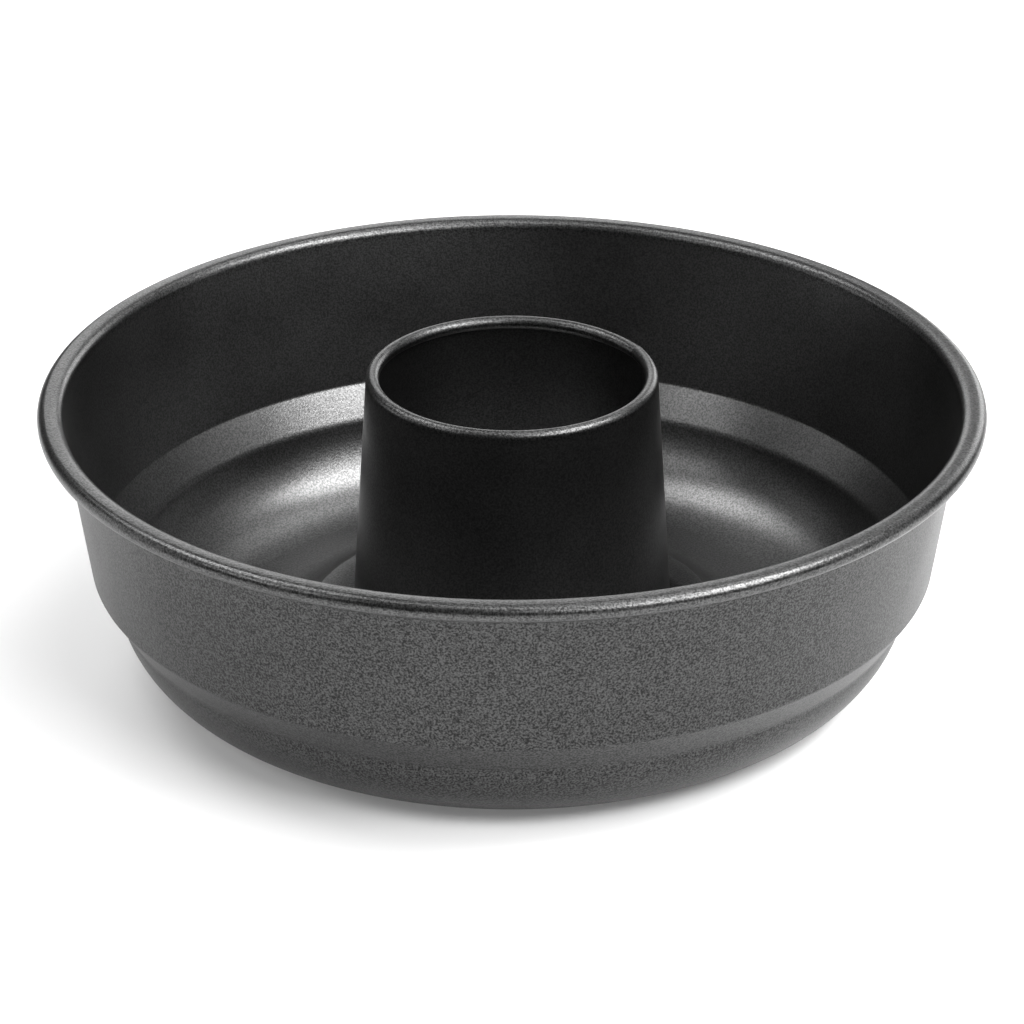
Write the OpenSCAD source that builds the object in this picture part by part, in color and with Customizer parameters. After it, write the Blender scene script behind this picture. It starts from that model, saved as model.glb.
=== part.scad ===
// Ring cake pan: a deep-drawn trough with a rolled, wired rim and a seamed centre tube.
// Millimetres, +Z up. The origin is the centre of the plane that the pan stands on.

/* [Rim] */
// Outside diameter over the rolled rim
rim_d = 260.6; // [210:0.2:330]
// Diameter of the wire inside the rolled rim
wire_d = 3.5; // [2.5:0.1:5]
// Room between the wire and the sheet rolled round it
wire_gap = 0.05; // [0.02:0.01:0.3]
// How far the sheet is rolled round the wire, counted from the top, in degrees
rim_wrap = 270; // [200:5:280]
// Width of the flat land between the wall's bend and the roll
rim_land = 2; // [0.5:0.1:6]
// Bend radius where the wall turns out into the rim
shoulder_r = 2.4; // [1.5:0.1:6]

/* [Body] */
// Height over the rim
pan_h = 79.4; // [60:0.1:110]
// Thickness of the body's sheet, coating included
sheet = 0.6; // [0.4:0.05:1.2]
// Lean of the upper wall from upright, in degrees
wall_lean = 7.9; // [2:0.1:14]
// Height of the crease round the wall
crease_z = 32.3; // [26:0.1:40]
// Bend radius of the crease
crease_r = 2.4; // [0.5:0.1:8]
// How far the wall steps in below the crease
step_in = 6.3; // [2:0.1:10]
// Height of the soft ridge under the step
ridge_z = 22.8; // [16:0.1:25]
// Bend radius of the soft ridge
ridge_r = 6; // [1:0.5:8]
// Bend radius of the trough, less where the trough is too narrow for it
trough_r = 25.9; // [14:0.1:32]
// Least width of the flat ring that the pan stands on
least_flat = 6; // [3:0.5:12]

/* [Floor ring] */
// Height of the raised floor round the tube, on its upper face
floor_z = 9.8; // [6:0.1:14]
// Width of the raised floor between the trough and the tube
floor_w = 13; // [8:0.1:20]
// Bend radius at the raised floor's edge
floor_edge_r = 1; // [0.5:0.1:3]

/* [Centre tube] */
// Height over the tube's rolled lip
tube_h = 84.5; // [60:0.1:120]
// Outside diameter of the tube at its lip
tube_top_d = 80.6; // [60:0.1:90]
// Outside diameter of the tube at the floor
tube_foot_d = 89.8; // [70:0.1:100]
// Thickness of the tube's sheet, coating included
tube_sheet = 0.6; // [0.4:0.05:0.9]
// Thickness of the lip, which is rolled inwards
lip_d = 3.7; // [2.6:0.1:6]
// How far the lip is rolled, counted from the outside of the tube, in degrees
lip_wrap = 255; // [180:5:290]
// How far the pressed shoulder above the floor stands out
shoulder_out = 1.8; // [1.2:0.1:3]
// Height of the pressed shoulder
shoulder_h = 3.2; // [2.5:0.1:6]
// Width of the foot flange turned out below the floor
flange_w = 4.5; // [2.5:0.1:7]
// Bend radius of the shoulder and the flange
foot_r = 0.5; // [0.35:0.05:0.7]
// Room between the hole in the floor and the bends that clamp its edge
hole_gap = 0.05; // [0.02:0.01:0.3]

/* [Hidden] */

$fn = 180;
bend_step = 10;     // degrees between two points of a tight bend
sweep_step = 5;     // degrees between two points of the trough's wide bend
least_bend_r = 2;   // tightest trough bend that a narrow trough gets
halvings = 24;      // steps in the search for that bend
coat = [0.27, 0.27, 0.28];
coat_dark = [0.12, 0.12, 0.125];
steel = [0.72, 0.73, 0.74];

// Rim: the roll's middle line runs round the wire
roll_r = wire_d / 2 + wire_gap + sheet / 2;
roll_d = 2 * roll_r + sheet;
roll_centre = [rim_d / 2 - roll_d / 2, pan_h - roll_d / 2];
land_z = pan_h - sheet / 2;
shoulder_reach = shoulder_r * tan((90 - wall_lean) / 2);
wall_top = [roll_centre.x - rim_land - shoulder_reach, land_z];

// Body, all on the sheet's middle surface
base_z = sheet / 2;
crease = [wall_top.x - (land_z - crease_z) * tan(wall_lean), crease_z];
ridge_x = crease.x - step_in;
floor_mid_z = floor_z - sheet / 2;
hole_r = tube_foot_d / 2 + foot_r - tube_sheet / 2 + hole_gap;
floor_edge_x = tube_foot_d / 2 + floor_w;

// Width taken by a bend of radius r that rises by h from the base
function reach(r, h) = h >= r ? r : sqrt(2 * r * h - h * h);
// Degrees that such a bend turns through
function sweep(r, h) = h >= r ? 90 : acos((r - h) / r);
// Whether two such bends leave the least flat between the ridge and the floor's edge
function fits(r) =
    reach(r, ridge_z - base_z) + least_flat + reach(r, floor_mid_z - base_z) <= ridge_x - floor_edge_x;
// Largest radius between lo and hi that fits, found by halving n times
function fitting_r(lo, hi, n) =
    let (mid = (lo + hi) / 2)
    n == 0 ? lo
    : fits(mid) ? fitting_r(mid, hi, n - 1)
    : fitting_r(lo, mid, n - 1);

bend_r = fits(trough_r) ? trough_r : fitting_r(least_bend_r, trough_r, halvings);
outer_bend = [ridge_x - reach(bend_r, ridge_z - base_z), base_z + bend_r];
inner_bend = [floor_edge_x + reach(bend_r, floor_mid_z - base_z), base_z + bend_r];
outer_sweep = sweep(bend_r, ridge_z - base_z);
inner_sweep = sweep(bend_r, floor_mid_z - base_z);

// Tube
lip_r = (lip_d - tube_sheet) / 2;
lip_centre = [(tube_top_d - lip_d) / 2, tube_h - lip_d / 2];
foot_x = (tube_foot_d - tube_sheet) / 2;
fold_z = floor_z + tube_sheet / 2;
flange_z = floor_z - sheet - tube_sheet / 2;
tube_lean = atan((tube_foot_d - tube_top_d) / 2 / (lip_centre.y - floor_z));

// Points along an arc about c, from angle a to angle b
function arc(c, r, a, b, step) =
    let (n = max(1, ceil(abs(b - a) / step)))
    [for (i = [0 : n]) c + r * [cos(a + (b - a) * i / n), sin(a + (b - a) * i / n)]];

function unit(v) = v / norm(v);
function left_of(v) = [-v.y, v.x];

// The bend of radius r that replaces the corner at b between a and c
function bend(a, b, c, r) =
    let (
        u = unit(a - b),
        w = unit(c - b),
        half = acos(u * w) / 2,
        centre = b + unit(u + w) * r / sin(half),
        start = b + u * r / tan(half) - centre,
        finish = b + w * r / tan(half) - centre,
        from = atan2(start.y, start.x),
        turned = atan2(finish.y, finish.x) - from,
        shortest = turned > 180 ? turned - 360 : turned < -180 ? turned + 360 : turned
    )
    arc(centre, r, from, from + shortest, bend_step);

// A line of corners [point, radius] with each corner bent to its radius
function bent(corners) = [
    for (i = [0 : len(corners) - 1])
        each i == 0 || i == len(corners) - 1 || corners[i][1] == 0
            ? [corners[i][0]]
            : bend(corners[i - 1][0], corners[i][0], corners[i + 1][0], corners[i][1])
];

// The same line moved sideways by d
function beside(line, d) = [
    for (i = [0 : len(line) - 1])
        let (
            before = unit(line[max(i, 1)] - line[max(i, 1) - 1]),
            after = unit(line[min(i, len(line) - 2) + 1] - line[min(i, len(line) - 2)]),
            across = unit(left_of(before) + left_of(after))
        )
        line[i] + across * d / (across * left_of(after))
];

// A sheet of thickness t whose middle surface is the line turned round the Z axis
module spun_sheet(line, t) {
    one_face = beside(line, t / 2);
    other_face = beside(line, -t / 2);
    last = len(line) - 1;
    rotate_extrude()
        polygon(concat(one_face, [for (i = [0 : last]) other_face[last - i]]));
}

// Deep-drawn body with its rim rolled outwards round the wire and a hole for the tube
module pan_shell() {
    roll = arc(roll_centre, roll_r, 90 - rim_wrap, 90, bend_step);
    outer_arc = arc(outer_bend, bend_r, outer_sweep - 90, -90, sweep_step);
    inner_arc = arc(inner_bend, bend_r, -90, -90 - inner_sweep, sweep_step);
    wall = bent([
        [roll[len(roll) - 1], 0],
        [wall_top, shoulder_r],
        [crease, crease_r],
        [outer_arc[0], ridge_r],
        [outer_arc[1], 0]
    ]);
    last = len(inner_arc) - 1;
    edge = bent([
        [inner_arc[last - 1], 0],
        [inner_arc[last], floor_edge_r],
        [[hole_r, floor_mid_z], 0]
    ]);
    line = concat(
        [for (i = [0 : len(roll) - 2]) roll[i]],
        wall,
        [for (i = [2 : len(outer_arc) - 1]) outer_arc[i]],
        [for (i = [0 : last - 1]) inner_arc[i]],
        [for (i = [1 : len(edge) - 1]) edge[i]]
    );
    color(coat)
        spun_sheet(line, sheet);
}

// Stiffening wire, closed into a ring inside the rolled rim
module rim_wire() {
    color(steel)
        rotate_extrude()
            translate(roll_centre)
                circle(d = wire_d);
}

// Coned tube: its lip is rolled inwards, and its foot is clamped on both sides of the floor
module centre_tube() {
    lip = arc(lip_centre, lip_r, lip_wrap - tube_lean, -tube_lean, bend_step);
    foot = bent([
        [lip[len(lip) - 1], 0],
        [[foot_x, fold_z + shoulder_h], foot_r],
        [[foot_x + shoulder_out, fold_z], foot_r],
        [[foot_x, fold_z], foot_r],
        [[foot_x, flange_z], foot_r],
        [[foot_x + flange_w, flange_z], 0]
    ]);
    line = concat([for (i = [0 : len(lip) - 2]) lip[i]], foot);
    color(coat_dark)
        spun_sheet(line, tube_sheet);
}

pan_shell();
rim_wire();
centre_tube();
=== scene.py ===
from math import asin, atan2, cos, degrees, exp, pi, radians, sin, sqrt, tan

import bmesh
import bpy
from mathutils import Matrix, Vector


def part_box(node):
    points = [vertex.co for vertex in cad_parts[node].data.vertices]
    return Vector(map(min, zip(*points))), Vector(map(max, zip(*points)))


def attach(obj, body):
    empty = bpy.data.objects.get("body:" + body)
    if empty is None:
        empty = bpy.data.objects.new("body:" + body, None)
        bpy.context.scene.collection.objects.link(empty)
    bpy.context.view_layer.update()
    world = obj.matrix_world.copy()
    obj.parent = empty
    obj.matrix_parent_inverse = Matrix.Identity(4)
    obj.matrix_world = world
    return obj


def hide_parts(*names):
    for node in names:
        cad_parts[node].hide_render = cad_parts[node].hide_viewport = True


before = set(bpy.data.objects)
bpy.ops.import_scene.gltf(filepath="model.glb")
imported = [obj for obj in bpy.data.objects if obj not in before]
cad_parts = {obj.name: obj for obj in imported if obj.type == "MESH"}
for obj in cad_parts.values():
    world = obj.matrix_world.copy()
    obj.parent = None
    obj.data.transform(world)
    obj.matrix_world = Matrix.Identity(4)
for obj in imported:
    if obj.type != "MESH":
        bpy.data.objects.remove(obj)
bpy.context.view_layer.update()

# Ring cake pan: a drawn trough with a wired rim and a seamed centre tube.
# Metres, +Z up, origin at the centre of the plane that the pan stands on.

MM = 0.001

# Sizes read from the frame
_, shell_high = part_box("pan_shell")
wire_low, wire_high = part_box("rim_wire")
_, tube_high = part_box("centre_tube")

SHEET = 0.6 * MM
RIM_R = shell_high.x
PAN_H = shell_high.z
TUBE_H = tube_high.z

# Rim: the sheet is rolled outwards round the wire, by ROLL_WRAP in degrees
WIRE_R = (wire_high.z - wire_low.z) / 2
WIRE_GAP = 0.05 * MM
ROLL_R = WIRE_R + WIRE_GAP + SHEET / 2
ROLL_X = RIM_R - ROLL_R - SHEET / 2
ROLL_Z = PAN_H - ROLL_R - SHEET / 2
ROLL_WRAP = 270
LAND_Z = PAN_H - SHEET / 2
LAND_W = 2 * MM
SHOULDER_R = 2.4 * MM

# Wall, trough and raised floor, on the sheet's middle surface
WALL_LEAN = radians(7.9)
CREASE_Z = 32.3 * MM
CREASE_R = 2.4 * MM
STEP_IN = 6.3 * MM
RIDGE_Z = 22.8 * MM
RIDGE_R = 6 * MM
TROUGH_R = 25.9 * MM
FLOOR_Z = 9.5 * MM
FLOOR_W = 13 * MM
FLOOR_EDGE_R = 1 * MM
BASE_Z = SHEET / 2

# Tube: its lip is rolled inwards, by LIP_WRAP in degrees, and its foot clamps the floor from both sides
TUBE_TOP_R = 40.3 * MM
TUBE_FOOT_R = 44.9 * MM
LIP_D = 3.7 * MM
LIP_WRAP = 255
SHOULDER_OUT = 1.8 * MM
SHOULDER_H = 3.2 * MM
FLANGE_W = 4.5 * MM
FOOT_R = 0.5 * MM
HOLE_GAP = 0.05 * MM
HOLE_R = TUBE_FOOT_R + FOOT_R - SHEET / 2 + HOLE_GAP

# Weld down the tube, where its strip was joined: a low bead on a slight peak that dies out at the foot
WELD_AT = radians(26)
WELD_HALF_W = 0.6 * MM
WELD_RISE = 0.06 * MM
PEAK_RISE = 0.45 * MM
PEAK_W = 6 * MM
FADES_OUT_IN = 1 / 8        # share of the tube's height in which the bead dies out

# The Mix node's sockets for two colours and their mixture
COLOUR_A = 6
COLOUR_B = 7
COLOUR_OUT = 2

# Coat: a fine grain, slow changes of gloss from the spraying, and bright flakes standing apart
NOISE_ROUGHNESS = 0.6
GRAIN_SIZE = 0.55 * MM
GRAIN_RANGE = (0.36, 0.64)
SPRAY_SIZE = 40 * MM
SPRAY_RANGE = (0.35, 0.65)
GLOSS_SWING = 0.025
SPECK_APART = 3.4 * MM
SPECK_EDGE = (0.02, 0.06)
SPECK_TONE = 3

# Coat where it lies thick, on the rim and the tube's lip, with a coarser grain; it is also made darker
# there, which is painted shade
HEAVY_FADE = 2 * MM
HEAVY_CONTRAST = 0.5
HEAVY_DEPTH = 0.06 * MM
HEAVY_PAINTED_SHADE = 0.75
RIM_FADE = 4 * MM

# Bare steel: the lines that drawing or shearing leaves
LINE_SIZE = 0.25 * MM
LINE_RANGE = (0.3, 0.7)
LINE_TONE = 0.6
STEEL_ROUGHNESS = (0.3, 0.5)

# Fineness of the meshes
ROUND_STEPS = 256
WELD_STEPS = 16
WELD_SECTOR = radians(4)
BEND_STEPS = 5
ROLL_STEP = 12          # degrees between two points of the roll or the lip
TROUGH_STEP = 4         # degrees between two points of the trough's bend
MERGE_DISTANCE = 0.001 * MM

# Studio: the lights stand near to the pan or far from it, and the far ones are wide
FLOOR_HALF = 4
FLOOR_TONE = 0.8
FLOOR_ROUGHNESS = 0.9
FLOOR_GLOW = 0.15
ROOM_GLOW = 0.06
NEAR = 1.1
FAR = 1.6
WIDE = 0.7
CAMERA_AT = (0, -0.94353, 0.50863)
CAMERA_TILT = radians(63.657)
LENS = 132.15
SENSOR_W = 36


# ---------------------------------------------------------------- profile lines

def at(x, z):
    return Vector((x, 0, z))


def start_line(x, z):
    """A new mesh with the first point of a profile line in it."""
    bm = bmesh.new()
    return bm, bm.verts.new(at(x, z))


def line_to(bm, end, point):
    """Draws a straight stretch on from the line's end."""
    fresh = bm.verts.new(point)
    bm.edges.new((end, fresh))
    return fresh


def arc_on(bm, end, centre, turn, steps):
    """Carries the line's end round a centre by turn degrees, clockwise where that is above 0."""
    made = bmesh.ops.spin(
        bm, geom=[end], cent=centre, axis=(0, 1, 0), dvec=(0, 0, 0),
        angle=radians(turn), steps=steps, use_duplicate=False,
    )
    return [v for v in made["geom_last"] if isinstance(v, bmesh.types.BMVert)][0]


def bend_on(bm, end, corner, ahead, radius):
    """Draws on to a corner and round it, towards the point ahead, in a bend of that radius."""
    back = (end.co - corner).normalized()
    on = (ahead - corner).normalized()
    half = back.angle(on) / 2
    centre = corner + (back + on).normalized() * radius / sin(half)
    start = corner + back * radius / tan(half)
    side = 1 if (start - centre).cross(corner - centre).y > 0 else -1
    end = line_to(bm, end, start)
    return arc_on(bm, end, centre, side * (180 - degrees(2 * half)), BEND_STEPS)


# ---------------------------------------------------------------- spun pieces

def revolve(bm, geom, angle, steps):
    """Turns a line round the Z axis. A full turn is closed."""
    return bmesh.ops.spin(
        bm, geom=geom, cent=(0, 0, 0), axis=(0, 0, 1), dvec=(0, 0, 0),
        angle=angle, steps=steps, use_merge=angle == 2 * pi,
    )


def finish_mesh(bm, name):
    """The mesh as a smooth piece at the origin."""
    mesh = bpy.data.meshes.new(name)
    for face in bm.faces:
        face.smooth = True
    bm.to_mesh(mesh)
    bm.free()
    piece = bpy.data.objects.new(name, mesh)
    bpy.context.scene.collection.objects.link(piece)
    return piece


def thicken(piece):
    """Gives a middle surface its sheet, half on each side, with the finishes in their order."""
    wall = piece.modifiers.new("sheet", "SOLIDIFY")
    wall.thickness = SHEET
    wall.offset = 0
    wall.use_even_offset = True
    wall.use_quality_normals = True
    wall.material_offset = 1
    wall.material_offset_rim = 2


def trough_reach(rise):
    """How far the trough's bend goes sideways while it rises that much from its lowest line."""
    return sqrt(2 * TROUGH_R * rise - rise * rise)


def body_line():
    """Middle line of the body from the roll's hidden edge to the hole for the tube."""
    start_at = radians(90 - ROLL_WRAP)
    bm, end = start_line(ROLL_X + ROLL_R * cos(start_at), ROLL_Z + ROLL_R * sin(start_at))
    roll_centre = at(ROLL_X, ROLL_Z)
    end = arc_on(bm, end, roll_centre, -ROLL_WRAP, round(ROLL_WRAP / ROLL_STEP))

    shoulder_reach = SHOULDER_R * tan((pi / 2 - WALL_LEAN) / 2)
    shoulder = at(ROLL_X - LAND_W - shoulder_reach, LAND_Z)
    crease = at(shoulder.x - (LAND_Z - CREASE_Z) * tan(WALL_LEAN), CREASE_Z)
    ridge = at(crease.x - STEP_IN, RIDGE_Z)
    outer_centre = at(ridge.x - trough_reach(RIDGE_Z - BASE_Z), BASE_Z + TROUGH_R)
    start_tilt = asin((ridge.z - outer_centre.z) / TROUGH_R)
    first = radians(TROUGH_STEP)
    below = outer_centre + TROUGH_R * Vector((cos(start_tilt - first), 0, sin(start_tilt - first)))

    end = bend_on(bm, end, shoulder, crease, SHOULDER_R)
    end = bend_on(bm, end, crease, ridge, CREASE_R)
    end = bend_on(bm, end, ridge, below, RIDGE_R)
    end = line_to(bm, end, below)
    turn = 90 + degrees(start_tilt - first)
    end = arc_on(bm, end, outer_centre, turn, round(turn / TROUGH_STEP))

    reach = trough_reach(FLOOR_Z - BASE_Z)
    edge = at(TUBE_FOOT_R + FLOOR_W, FLOOR_Z)
    inner_centre = at(edge.x + reach, BASE_Z + TROUGH_R)
    end = line_to(bm, end, at(inner_centre.x, BASE_Z))
    turn = degrees(asin(reach / TROUGH_R)) - TROUGH_STEP
    end = arc_on(bm, end, inner_centre, turn, round(turn / TROUGH_STEP))
    end = bend_on(bm, end, edge, at(HOLE_R, FLOOR_Z), FLOOR_EDGE_R)
    line_to(bm, end, at(HOLE_R, FLOOR_Z))
    return bm


def tube_line():
    """Middle line of the tube from the lip's hidden edge to the end of its foot flange."""
    lip_r = (LIP_D - SHEET) / 2
    centre = at(TUBE_TOP_R - LIP_D / 2, TUBE_H - LIP_D / 2)
    lean = asin((TUBE_FOOT_R - TUBE_TOP_R) / (centre.z - FLOOR_Z))
    begin = radians(LIP_WRAP) - lean
    bm, end = start_line(centre.x + lip_r * cos(begin), centre.z + lip_r * sin(begin))
    end = arc_on(bm, end, centre, LIP_WRAP, round(LIP_WRAP / ROLL_STEP))

    foot_x = TUBE_FOOT_R - SHEET / 2
    fold_z = FLOOR_Z + SHEET
    flange_z = FLOOR_Z - SHEET
    corners = [
        at(foot_x, fold_z + SHOULDER_H),
        at(foot_x + SHOULDER_OUT, fold_z),
        at(foot_x, fold_z),
        at(foot_x, flange_z),
        at(foot_x + FLANGE_W, flange_z),
    ]
    for corner, ahead in zip(corners, corners[1:]):
        end = bend_on(bm, end, corner, ahead, FOOT_R)
    line_to(bm, end, corners[-1])
    return bm


def tidy_surface(bm):
    """Joins what meets in the mesh and turns its faces outwards."""
    bmesh.ops.remove_doubles(bm, verts=bm.verts[:], dist=MERGE_DISTANCE)
    bmesh.ops.recalc_face_normals(bm, faces=bm.faces[:])


def raise_weld(bm):
    """Lifts the weld's bead and the slight peak that the strip's straighter ends leave under it."""
    for vert in bm.verts:
        radius = vert.co.xy.length
        turned = atan2(vert.co.y, vert.co.x) - WELD_AT
        away = abs(atan2(sin(turned), cos(turned))) * radius
        free = min(1, max(0, (vert.co.z - FLOOR_Z) / (TUBE_H - FLOOR_Z)))
        bead = WELD_RISE * exp(-(away / WELD_HALF_W) ** 2)
        peak = PEAK_RISE * free * exp(-away / PEAK_W)
        vert.co.xy *= 1 + (bead * min(1, free / FADES_OUT_IN) + peak) / radius


def make_body():
    """The drawn body with its rolled rim."""
    bm = body_line()
    revolve(bm, bm.verts[:] + bm.edges[:], 2 * pi, ROUND_STEPS)
    tidy_surface(bm)
    piece = finish_mesh(bm, "body_shell")
    thicken(piece)
    return piece


def make_tube():
    """The coned tube, with finer columns where its weld runs."""
    bm = tube_line()
    most = revolve(bm, bm.verts[:] + bm.edges[:], 2 * pi - WELD_SECTOR, ROUND_STEPS)
    revolve(bm, most["geom_last"], WELD_SECTOR, WELD_STEPS)
    bmesh.ops.rotate(
        bm, verts=bm.verts[:], cent=(0, 0, 0),
        matrix=Matrix.Rotation(WELD_AT + WELD_SECTOR / 2, 3, "Z"),
    )
    tidy_surface(bm)
    raise_weld(bm)
    piece = finish_mesh(bm, "tube_shell")
    thicken(piece)
    return piece


# ---------------------------------------------------------------- finishes

def put(tree, kind, inputs=None, **settings):
    """Adds a shader node. An input is set to a value or linked to another node's output."""
    made = tree.nodes.new(kind)
    for name, value in settings.items():
        setattr(made, name, value)
    for name, value in (inputs or {}).items():
        if isinstance(value, bpy.types.NodeSocket):
            tree.links.new(value, made.inputs[name])
        else:
            made.inputs[name].default_value = value
    return made


def grey(tone):
    return (tone, tone, tone, 1)


def new_material(name):
    mat = bpy.data.materials.new(name)
    mat.use_nodes = True
    return mat, mat.node_tree, mat.node_tree.nodes["Principled BSDF"]


def noise(tree, coords, size, detail):
    """Cloudy noise whose patches are about that size."""
    return put(tree, "ShaderNodeTexNoise", {
        "Vector": coords, "Scale": 1 / size, "Detail": detail, "Roughness": NOISE_ROUGHNESS,
    }).outputs["Fac"]


def between(tree, value, source, target):
    """Stretches a value from the source range to the target range and holds it inside."""
    return put(tree, "ShaderNodeMapRange", {
        "Value": value, "From Min": source[0], "From Max": source[1],
        "To Min": target[0], "To Max": target[1],
    }).outputs["Result"]


def mixed(tree, factor, first, second):
    """A colour between two, by the factor."""
    made = put(tree, "ShaderNodeMix", {"Factor": factor}, data_type="RGBA")
    for index, value in ((COLOUR_A, first), (COLOUR_B, second)):
        if isinstance(value, bpy.types.NodeSocket):
            tree.links.new(value, made.inputs[index])
        else:
            made.inputs[index].default_value = value
    return made.outputs[COLOUR_OUT]


def speckle(tree, grain, tone, contrast):
    """Grey that the grain makes lighter and darker about its tone."""
    flake = between(tree, grain, GRAIN_RANGE, (0, 1))
    return mixed(tree, flake, grey(tone * (1 - contrast)), grey(tone * (1 + contrast)))


def coat(name, tone, contrast, depth, roughness, specks, heavy_and_shade_from):
    """Baked-on non-stick coat with metal flake: grain in its colour, gloss and surface.

    Above the height heavy_and_shade_from it lies thick, with the thick coat's coarser grain, and it is
    also made darker there: painted shade for the dimmer light that the rim and the lip give back.
    """
    mat, tree, shader = new_material(name)
    coords = put(tree, "ShaderNodeTexCoord").outputs["Object"]
    grain = noise(tree, coords, GRAIN_SIZE, 1)
    spray = noise(tree, coords, SPRAY_SIZE, 2)
    height = put(tree, "ShaderNodeSeparateXYZ", {"Vector": coords}).outputs["Z"]
    heavy_and_painted_shade = between(tree, height, (heavy_and_shade_from, heavy_and_shade_from + HEAVY_FADE), (0, 1))

    thin_coat = speckle(tree, grain, tone, contrast)
    # The thick coat's tone is lowered by HEAVY_PAINTED_SHADE: painted shade, while its coarser grain is
    # the coat's own.
    thick_coat_and_painted_shade = speckle(tree, grain, tone * HEAVY_PAINTED_SHADE, HEAVY_CONTRAST)
    speckled = mixed(tree, heavy_and_painted_shade, thin_coat, thick_coat_and_painted_shade)
    cells = put(tree, "ShaderNodeTexVoronoi", {"Vector": coords, "Scale": 1 / SPECK_APART})
    speck = between(tree, cells.outputs["Distance"], SPECK_EDGE, (specks, 0))
    colour = mixed(tree, speck, speckled, grey(SPECK_TONE * tone))
    tree.links.new(colour, shader.inputs["Base Color"])

    gloss = between(tree, spray, SPRAY_RANGE, (roughness - GLOSS_SWING, roughness + GLOSS_SWING))
    tree.links.new(gloss, shader.inputs["Roughness"])
    relief = between(tree, heavy_and_painted_shade, (0, 1), (min(1, depth / HEAVY_DEPTH), 1))
    bump = put(tree, "ShaderNodeBump", {"Strength": relief, "Distance": HEAVY_DEPTH, "Height": grain})
    tree.links.new(bump.outputs["Normal"], shader.inputs["Normal"])
    shader.inputs["Metallic"].default_value = 1
    return mat


def bare_steel(name, tone):
    """Steel with the fine lines that drawing or shearing leaves in it."""
    mat, tree, shader = new_material(name)
    coords = put(tree, "ShaderNodeTexCoord").outputs["Object"]
    lines = noise(tree, coords, LINE_SIZE, 3)
    colour = mixed(tree, between(tree, lines, LINE_RANGE, (0, 1)), grey(LINE_TONE * tone), grey(tone))
    tree.links.new(colour, shader.inputs["Base Color"])
    tree.links.new(between(tree, lines, LINE_RANGE, STEEL_ROUGHNESS), shader.inputs["Roughness"])
    shader.inputs["Metallic"].default_value = 1
    return mat


def inside_coat():
    return coat(
        "inside_coat", tone=0.09, contrast=0.3, depth=0.04 * MM, roughness=0.34, specks=0.4,
        heavy_and_shade_from=LAND_Z - RIM_FADE,
    )


# The same coat as inside, with a coarser grain, but at a lower tone: painted shade for the dimmer floor
# light that the outer wall reflects.
def outside_coat_painted_shade():
    return coat(
        "outside_coat_painted_shade", tone=0.05, contrast=0.6, depth=0.06 * MM, roughness=0.42, specks=0,
        heavy_and_shade_from=LAND_Z,
    )


def tube_coat():
    return coat(
        "tube_coat", tone=0.08, contrast=0.25, depth=0.04 * MM, roughness=0.36, specks=0.4,
        heavy_and_shade_from=TUBE_H - LIP_D,
    )


# The tube's coat at a lower tone on its inner face: painted shade, as little light reaches inside the
# tube where it stands on the floor.
def tube_inside_coat_painted_shade():
    return coat(
        "tube_inside_coat_painted_shade", tone=0.05, contrast=0.25, depth=0.04 * MM, roughness=0.4, specks=0.4,
        heavy_and_shade_from=TUBE_H - LIP_D,
    )


def dress(body, tube, wire):
    """Gives each sheet the finish of its two faces, where the darker face's lower tone is painted
    shade, and its cut edge, and the wire its steel.
    """
    edge = bare_steel("cut_edge", 0.35)
    for piece, finishes in (
        (body, (inside_coat(), outside_coat_painted_shade(), edge)),
        (tube, (tube_coat(), tube_inside_coat_painted_shade(), edge)),
    ):
        for finish in finishes:
            piece.data.materials.append(finish)
    wire.data.materials.clear()
    wire.data.materials.append(bare_steel("drawn_wire", 0.6))


# ---------------------------------------------------------------- build

body = make_body()
tube = make_tube()
dress(body, tube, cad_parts["rim_wire"])
for piece, node, slot in (
    (body, "pan_shell", "body_coating"),
    (tube, "centre_tube", "tube_coating"),
):
    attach(piece, "root")
    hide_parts(node)


# ---------------------------------------------------------------- studio

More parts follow.
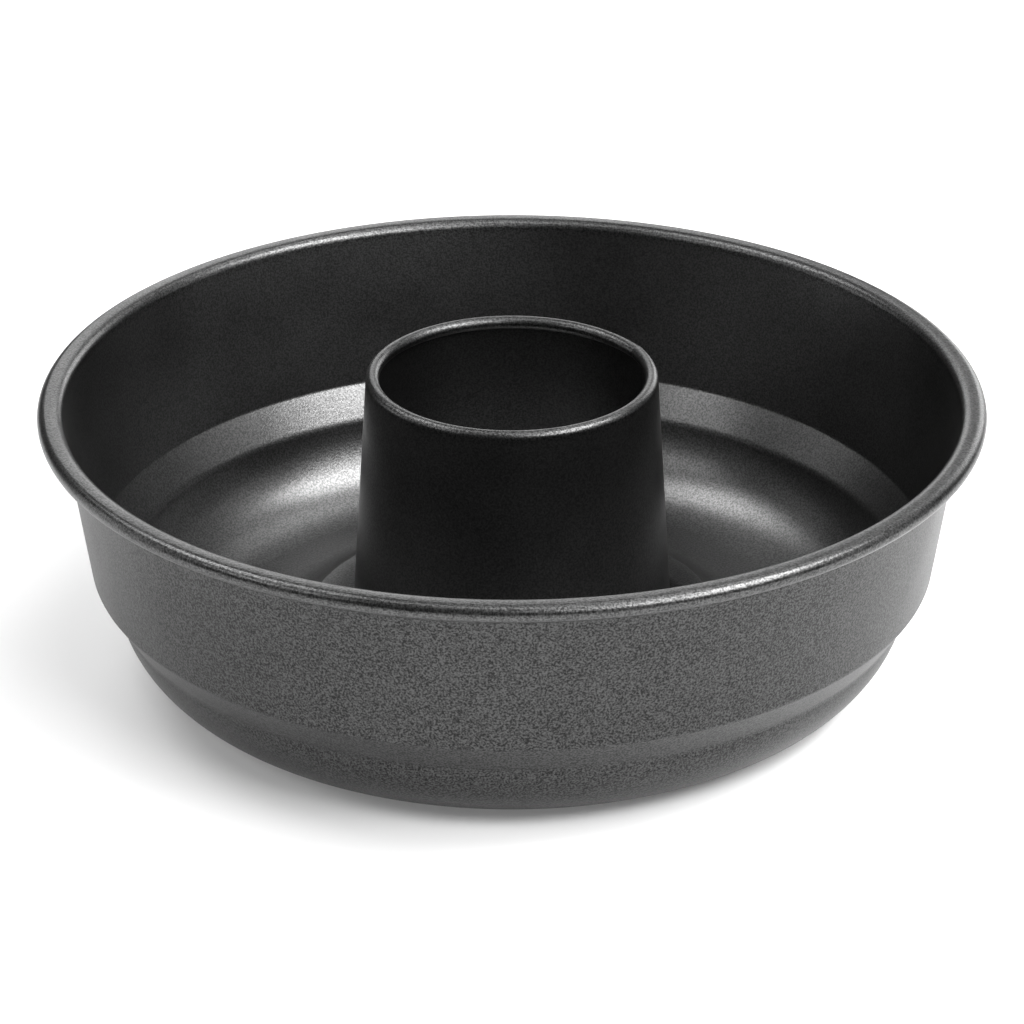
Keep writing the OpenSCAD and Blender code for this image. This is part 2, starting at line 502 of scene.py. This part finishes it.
def floor_piece():
    """Pale paper that glows a little, which keeps its shadows soft."""
    bm = bmesh.new()
    bmesh.ops.create_grid(bm, x_segments=1, y_segments=1, size=FLOOR_HALF)
    piece = finish_mesh(bm, "floor")
    mat, _, shader = new_material("floor_paper")
    shader.inputs["Base Color"].default_value = grey(FLOOR_TONE)
    shader.inputs["Roughness"].default_value = FLOOR_ROUGHNESS
    shader.inputs["Emission Color"].default_value = grey(1)
    shader.inputs["Emission Strength"].default_value = FLOOR_GLOW
    piece.data.materials.append(mat)


def soft_light(name, azimuth, elevation, distance, side, strength):
    """A square soft light that looks at the middle of the pan."""
    around = radians(azimuth)
    above = radians(elevation)
    place = Vector((cos(around) * cos(above), sin(around) * cos(above), sin(above))) * distance
    data = bpy.data.lights.new(name, "AREA")
    data.shape = "SQUARE"
    data.size = side
    data.energy = strength * side * side * pi
    lamp = bpy.data.objects.new(name, data)
    lamp.location = place
    lamp.rotation_euler = place.to_track_quat("Z", "Y").to_euler()
    bpy.context.scene.collection.objects.link(lamp)


def lights_above():
    """Lights over the rim, which the trough, the roll and the front of the wall reflect."""
    soft_light("key", -36, 42, NEAR, 0.36, 16)
    soft_light("key_top", -12, 56, NEAR, 0.40, 25)
    soft_light("front", -60, 43, NEAR, 0.36, 12)
    soft_light("front_left", -150, 38, NEAR, 0.36, 5)
    soft_light("fill", 158, 58, NEAR, 0.50, 8)
    soft_light("overhead", -80, 80, NEAR, 0.40, 5)
    soft_light("back_top", 60, 62, NEAR, 0.40, 5)


def lights_around():
    """Wide, low lights, which the edges of the pan reflect."""
    soft_light("back_right", 60, 18, FAR, WIDE, 5)
    soft_light("back", 95, 22, FAR, WIDE, 3)
    soft_light("left", 170, 14, FAR, WIDE, 2)
    soft_light("right", 0, 18, FAR, WIDE, 1.2)


def room():
    """Faint white light from all round."""
    world = bpy.data.worlds.new("studio")
    bpy.context.scene.world = world
    world.use_nodes = True
    background = world.node_tree.nodes["Background"]
    background.inputs["Color"].default_value = grey(1)
    background.inputs["Strength"].default_value = ROOM_GLOW


def camera():
    """The camera looks down at the pan from the front."""
    data = bpy.data.cameras.new("camera")
    data.sensor_width = SENSOR_W
    data.lens = LENS
    cam = bpy.data.objects.new("camera", data)
    cam.location = CAMERA_AT
    cam.rotation_euler = (CAMERA_TILT, 0, 0)
    bpy.context.scene.collection.objects.link(cam)
    bpy.context.scene.camera = cam


floor_piece()
lights_above()
lights_around()
room()
camera()
bpy.context.scene.view_settings.view_transform = "Standard"
